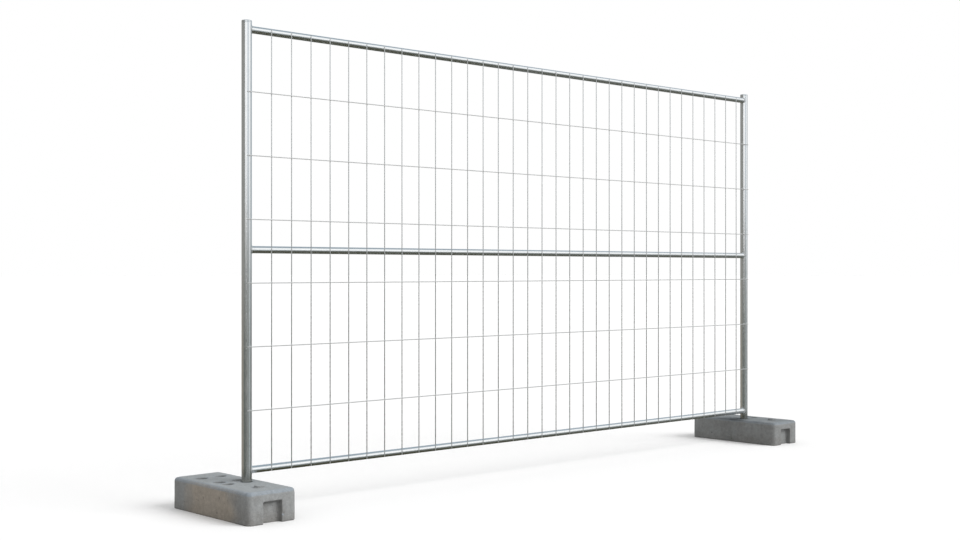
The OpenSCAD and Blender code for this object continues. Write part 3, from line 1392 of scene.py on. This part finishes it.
@dataclass
class Foot:
    """Cast concrete block with its sockets, hand grips and stacking stud.

    A facing is the share of a normal at which a mark starts, and the width over which it rises.
    """

    side: Side
    post_axis: Vector
    wear: Wear
    voxel: float = 2.8 * MM
    socket_bevel: float = 3 * MM
    snap: float = 1.6 * MM
    keep_clear: float = 2 * MM
    clear_fade: float = 6 * MM
    movable: float = 0.9
    noise_reach: float = 50.0
    sway: Cloud = Cloud(11.0, 0.55 * MM)
    grain: Cloud = Cloud(85.0, 0.22 * MM)
    ragged: Cloud = Cloud(120.0, 0.35, 1.0)
    chips: Dents = Dents(8, (6, 13), (0.8, 2.0))
    chip_edge: float = 0.09 * MM
    chip_base: float = 4 * MM
    pits: Dents = Dents(24, (3.2, 6.5), (1.0, 2.4))
    worn_edge: float = 0.012 * MM
    worn_rise: float = 0.07 * MM
    worn_facing: Range = (0.1, 0.2)
    top_facing: Range = (0.55, 0.4)
    dust_facing: Range = (0.35, 0.5)
    dust_middle: float = -20 * MM
    dust_half: float = 200 * MM
    dust_depth: float = 30 * MM
    dust_hump: float = 1.5
    dust: Cloud = Cloud(13.0, 0.7)
    damp_facing: Range = (0.2, 0.5)
    side_damp: float = 0.25
    damp: Cloud = Cloud(16.0, 0.4, 0.85)
    rim_width: float = 5 * MM
    rim_damp: float = 0.22
    stain: Cloud = Cloud(30.0, 0.5, 1.0)
    stain_place: Range = (-88 * MM, 12 * MM)
    stain_half: Range = (42 * MM, 72 * MM)

    def __post_init__(self) -> None:
        """Reads the block's box and round walls from the frame."""
        label = self.side.label
        self.node = f"{label}_foot"
        self.span = Span.of(self.node)
        mounts = {mount["name"]: mount for mount in frame["record"]["mounts"]}
        stud, seat = mounts[f"{label}_stacking_stud"], mounts[f"{label}_stacking_seat"]
        sockets = [mount for name, mount in mounts.items() if name.startswith(f"{label}_socket_")]
        base, radius = self.span.lo.z, sockets[0]["dims"]["r_mm"] * MM
        deck = stud["pos_m"][2] - stud["dims"]["length_mm"] * MM / 2
        axes = [Vector(mount["pos_m"]) for mount in sockets] + [self.post_axis]
        self.sockets = [RoundWall(axis, radius, base, deck - self.socket_bevel) for axis in axes]
        self.stud = RoundWall(Vector(stud["pos_m"]), stud["dims"]["r_mm"] * MM, deck, self.span.hi.z)
        self.seat = RoundWall(Vector(seat["pos_m"]), seat["dims"]["r_mm"] * MM, base, 2 * seat["pos_m"][2])

    def block(self) -> Mesh:
        """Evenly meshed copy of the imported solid.

        Returns:
            Closed mesh of small even faces.
        """
        name = f"{self.node}_block"
        shell = bmesh.new()
        shell.from_mesh(frame["nodes"][self.node].data)
        bmesh.ops.remove_doubles(shell, verts=shell.verts, dist=0.01 * MM)
        mesh = bpy.data.meshes.new(name)
        shell.to_mesh(mesh)
        shell.free()
        draft = new_object(name, mesh)
        remesh = draft.modifiers.new("even_faces", "REMESH")
        remesh.mode = "VOXEL"
        remesh.voxel_size = self.voxel
        even = evaluated_mesh(draft)
        bpy.data.objects.remove(draft)
        bpy.data.meshes.remove(mesh)
        even.name = name
        even.materials.clear()
        return even

    def true_up(self, surface: CastSurface) -> np.ndarray:
        """Draws the points near each round wall onto its true radius.

        Args:
            surface: Points of the block.

        Returns:
            Distance of each point from the nearest socket's wall or from the stud.
        """
        nearest = np.full(len(surface.points), np.inf)
        for wall in [*self.sockets, self.stud, self.seat]:
            middle, reach, height = np.array(wall.axis[:2]), surface.reach(wall), surface.points[:, 2]
            inside = (height > wall.low + self.voxel) & (height < wall.high - self.voxel / 3)
            chosen = inside & (abs(reach - wall.radius) < self.snap)
            pull = (wall.radius / reach[chosen])[:, None]
            surface.points[chosen, :2] = middle + (surface.points[chosen, :2] - middle) * pull
            away = abs(reach - wall.radius) if wall in self.sockets else np.maximum(reach - wall.radius, 0.0)
            nearest = np.minimum(nearest, away)
        return nearest

    def weather(self, surface: CastSurface, free: np.ndarray) -> np.ndarray:
        """Moves the points: uneven faces, open pores and chipped edges.

        Args:
            surface: Points of the block.
            free: Share from 0 to 1 by which each point may move.

        Returns:
            How deep each point lies in a pore, from 0 to 1.
        """
        picks = np.random.default_rng(self.wear.seed)
        offset = Vector(picks.uniform(0, self.noise_reach, 3))
        lift = surface.cloud(self.sway, offset) + surface.cloud(self.grain, offset)
        ragged = surface.cloud(self.ragged, offset)
        edge = surface.spread(surface.convexity(), rounds=2)
        movable = free > self.movable
        corners = np.flatnonzero((edge > self.chip_edge) & movable & (surface.points[:, 2] > self.chip_base))
        for depth, hollow in self.chips.draw(surface, picks, corners, ragged):
            lift -= depth * hollow
        pore = np.zeros(len(lift))
        for depth, hollow in self.pits.draw(surface, picks, np.flatnonzero(movable)):
            lift -= depth * hollow
            pore = np.maximum(pore, hollow)
        surface.points += surface.normals * (lift * free)[:, None]
        return pore

    def soil(self, surface: CastSurface) -> None:
        """Marks the block's dusty long side, its damp top and the damp rims of its sockets and stud.

        Args:
            surface: Points of the block.
        """
        points, normals, offset = surface.points, surface.normals, Vector((self.wear.seed, 3.0, 7.0))
        outward = ramp(self.side.value * normals[:, 0], *self.dust_facing)
        depth = self.span.size.x / 2 - self.side.value * (points[:, 0] - self.span.centre.x)
        hump = 1.0 - ((points[:, 1] - self.dust_middle) / self.dust_half) ** 2
        dust = np.clip(self.dust_hump * hump + surface.cloud(self.dust, offset), 0.0, 1.0)
        dust = outward * (depth < self.dust_depth) * surface.spread(dust, rounds=3)
        put_mark(surface.mesh, Mark.DUST, dust)
        upward = np.maximum(ramp(normals[:, 2], *self.damp_facing), self.side_damp)
        damp = upward * self.wear.damp * surface.cloud(self.damp, offset)
        rims = [np.exp(-((surface.reach(wall) - wall.radius) / self.rim_width) ** 2)
                for wall in (*self.sockets, self.stud)]
        # Dark bluish patch on the top beside the post, under the bottom rail, added to the damp mark.
        across = (points[:, :2] - np.array(self.span.centre[:2]) - self.stain_place) / self.stain_half
        stain = upward * np.exp(-np.sum(across ** 2, axis=1)) * surface.cloud(self.stain, offset)
        damp += self.rim_damp * np.max(rims, axis=0) + self.wear.stain * stain
        put_mark(surface.mesh, Mark.DAMP, np.clip(damp, 0.0, 1.0))

    def build(self) -> Piece:
        """Makes the worn block with the attributes of its finish.

        Returns:
            The finished object.
        """
        mesh = self.block()
        surface = CastSurface(mesh)
        surface.smooth(rounds=2)
        from_socket = self.true_up(surface)
        surface.store()
        edge = surface.spread(np.maximum(surface.convexity(), 0.0), rounds=7)
        free = ramp(from_socket, self.keep_clear, self.clear_fade)
        pore = self.weather(surface, free)
        surface.points[:, 2] = np.maximum(surface.points[:, 2], self.span.lo.z)
        surface.store()
        upward = surface.normals[:, 2]
        facing_up = surface.spread(np.clip(upward, 0.0, 1.0), rounds=2)
        # Upper edges that face upwards: marked for a little polish and for painted bluish sky light.
        worn = ramp(upward, *self.worn_facing) * ramp(edge, self.worn_edge, self.worn_rise)
        put_mark(mesh, Mark.EDGE, free * worn)
        # Painted sky light on the upward faces.
        put_mark(mesh, Mark.TOP, ramp(facing_up, *self.top_facing))
        put_mark(mesh, Mark.PORE, pore)
        self.soil(surface)
        mesh.shade_smooth()
        return new_object(mesh.name, mesh)

    def finish(self, finishes: Finishes) -> None:
        """Builds and dresses the block."""
        dress(self.build(), finishes.concrete, Slot.CONCRETE, self.node, [self.node])


def plain_material(name: str, kind: str, colour: Callable[[Tree], Flow | tuple[float, ...]]) -> Material:
    """Makes a material of one shader.

    Args:
        name: Name of the material.
        kind: Blender's name of the shader node.
        colour: Makes the colour in the material's tree.

    Returns:
        The material.
    """
    material = bpy.data.materials.new(name)
    tree = Tree.blank(material)
    tree.add("ShaderNodeOutputMaterial", {"Surface": tree.get(kind, {"Color": colour(tree)})})
    return material


@dataclass(frozen=True)
class Card:
    """Upright curved card that only reflections see, as a photographer's flag. Angles are in degrees."""

    name: str
    colour: Colour
    angles: Range
    distance: float
    heights: Range
    steps: int = 40

    def build(self) -> Piece:
        """Makes the card with its own even glow.

        Returns:
            The card's object.
        """
        bends = np.radians(np.linspace(*self.angles, self.steps))
        feet = [(self.distance * math.sin(bend), -self.distance * math.cos(bend)) for bend in bends]
        points = [(x, y, z) for z in self.heights for x, y in feet]
        faces = [(i, i + 1, self.steps + i + 1, self.steps + i) for i in range(self.steps - 1)]
        mesh = bpy.data.meshes.new(self.name)
        mesh.from_pydata(points, [], faces)
        glow = plain_material(self.name, "ShaderNodeEmission", lambda tree: (*self.colour, 1.0))
        mesh.materials.append(glow)
        card = new_object(self.name, mesh)
        card.visible_camera = card.visible_diffuse = False
        card.visible_transmission = card.visible_shadow = False
        return card


@dataclass
class Studio:
    """Camera, light, floor and the cards that the metal reflects."""

    camera_place: Vector = Vector((-4.7255, -4.6938, 0.9982))
    camera_heading: float = math.radians(-42.86)
    lens: float = 50.0
    sensor: float = 36.0
    sky_level: float = 0.67
    sky_white: Colour = (1.0, 1.0, 1.0)
    sky_dim: Colour = (0.36, 0.425, 0.48)
    sky_overhead: Colour = (0.30, 0.365, 0.41)
    sky_haze: Colour = (0.38, 0.41, 0.425)
    overhead: Range = (0.6, 0.88)
    bright_sides: tuple[tuple[Triple, Range], ...] = (
        ((0.62, -0.68, 0.38), (0.65, 0.96)),
        ((-0.717, -0.668, 0.20), (0.66, 0.95)),
    )
    hazy_side: tuple[Triple, Range] = ((0.996, -0.087, 0.0), (0.70, 0.95))
    haze_height: Range = (0.08, 0.36)
    haze_share: float = 0.8
    dark_side: tuple[Triple, Range] = ((-0.985, -0.174, 0.0), (0.3, 1.0))
    ground_fade: Range = (-0.85, -0.08)
    key_level: float = 2.05
    key_spread: float = math.radians(40)
    key_from: Vector = Vector((0.40, -0.72, 0.56))
    floor_size: float = 400.0
    floor_white: Colour = (1.0, 1.0, 1.0)
    floor_bounce: Colour = (0.34, 0.33, 0.315)
    ground_below: Colour = (0.050, 0.049, 0.028)
    ground_away: Colour = (0.214, 0.226, 0.218)
    ground_dark: Colour = (0.112, 0.121, 0.108)
    cards: tuple[Card, ...] = (
        Card("side_card", (0.262, 0.26, 0.245), (-205.0, -72.0), distance=40.0, heights=(0.0, 36.0)),
        Card("bank_card", (0.245, 0.228, 0.192), (-205.0, -106.0), distance=40.0, heights=(-30.0, 0.0)),
        Card("low_card", (0.19, 0.19, 0.175), (-72.0, 28.0), distance=30.0, heights=(0.0, 2.1)),
        Card("strip_card", (0.66, 0.71, 0.73), (22.0, 31.0), distance=29.0, heights=(-20.0, 3.0)),
    )

    def set_camera(self) -> None:
        """Places the camera at the photograph's viewpoint, level and with no shift."""
        data = bpy.data.cameras.new("camera")
        data.lens = self.lens
        data.sensor_width = self.sensor
        data.clip_end = 2 * self.floor_size
        camera = new_object("camera", data)
        camera.location = self.camera_place
        camera.rotation_euler = (math.pi / 2, 0.0, self.camera_heading)
        bpy.context.scene.camera = camera

    def set_light(self) -> None:
        """Lights the object with an even white sky and one broad soft key."""
        world = bpy.data.worlds.new("sky")
        tree = Tree.blank(world)
        glossy = tree.get("ShaderNodeLightPath", output="Is Glossy Ray")
        colour = tree.mix(glossy, self.sky_white, self.sky_shine(tree))
        lit, shown = (tree.get("ShaderNodeBackground", {"Color": colour, "Strength": level})
                      for level in (self.sky_level, 1.0))
        both = tree.get("ShaderNodeMixShader", {0: tree.light_seen(), 1: lit, 2: shown})
        tree.add("ShaderNodeOutputWorld", {"Surface": both})
        bpy.context.scene.world = world
        data = bpy.data.lights.new("key", "SUN")
        data.energy = self.key_level
        data.angle = self.key_spread
        key = new_object("key", data)
        key.rotation_euler = self.key_from.to_track_quat("Z", "Y").to_euler()
        key.visible_glossy = False

    def sky_shine(self, tree: Tree) -> Flow:
        """Colour that the metal reflects: a sky with two bright sides, over ground that darkens below.

        Args:
            tree: Tree of the world.

        Returns:
            The colour.
        """
        toward = tree.get("ShaderNodeTexCoord", output="Generated")
        up = tree.along(toward, "Z")
        first, second, hazy, dark = (
            tree.vector("DOT_PRODUCT", toward, side, "Value").ease(*width)
            for side, width in (*self.bright_sides, self.hazy_side, self.dark_side))
        haze = hazy * up.ease(*self.haze_height, self.haze_share, 0.0)
        sky = tree.coat(tree.mix(first.most(second), self.sky_dim, self.sky_white), [
            (up.ease(*self.overhead), self.sky_overhead), (haze, self.sky_haze)])
        away = tree.mix(dark, self.ground_away, self.ground_dark)
        ground = tree.mix(up.ease(*self.ground_fade), self.ground_below, away)
        return tree.mix(tree.math("GREATER_THAN", up, 0.0), ground, sky)

    def set_floor(self) -> None:
        """Lays the plain floor, white where it is seen and a little darker where it throws light back."""
        half = self.floor_size / 2
        mesh = bpy.data.meshes.new("floor")
        corners = [(-half, -half, 0), (half, -half, 0), (half, half, 0), (-half, half, 0)]
        mesh.from_pydata(corners, [], [(0, 1, 2, 3)])
        mesh.materials.append(plain_material("plain_floor", "ShaderNodeBsdfDiffuse", lambda tree: tree.mix(
            tree.light_seen(), self.floor_bounce, self.floor_white)))
        floor = new_object("floor", mesh)
        floor.visible_glossy = False

    def build(self) -> None:
        """Sets up the whole studio."""
        self.set_camera()
        self.set_light()
        self.set_floor()
        for card in self.cards:
            card.build()
        bpy.context.scene.view_settings.view_transform = "Standard"


def main() -> None:
    """Builds the studio and every piece of the fence panel."""
    logging.basicConfig(level=logging.INFO, format="%(name)s %(message)s")
    Studio().build()
    nodework = Nodework()
    wires = WireMesh()
    uprights, levels = wires.uprights, wires.levels
    spans = [Span.of(f"{side.label}_post") for side in Side]
    axes = (spans[0].centre, spans[1].centre)
    rails = [RailTube(level, axes, spans[0].size.x / 2, uprights.places) for level in Level]
    rail_axes = [(rail.axis_y, rail.axis_z) for rail in rails]
    posts = [Post(side, rail_axes, rails[0].radius, levels.places, levels.span.hi.y) for side in Side]
    rows = WeldRow("Z", levels.places[-1], -levels.pitch)
    rail_rows = WeldRow("Z", rails[-1].axis_z, rails[1].axis_z - rails[-1].axis_z, rails[0].radius)
    finishes = Finishes((rows, rail_rows), (WeldRow("X", uprights.places[0], uprights.pitch),))
    for piece in (*posts, *rails):
        piece.finish(finishes)
    wires.finish(nodework, finishes, rails, posts)
    RailBeads(rails).finish(nodework, finishes)
    wears = (Wear(seed=21, damp=0.065, stain=0.0), Wear(seed=22, damp=0.50, stain=0.75))
    for post, wear in zip(posts, wears):
        Foot(post.side, post.axis, wear).finish(finishes)


if __name__ == "__main__":
    main()
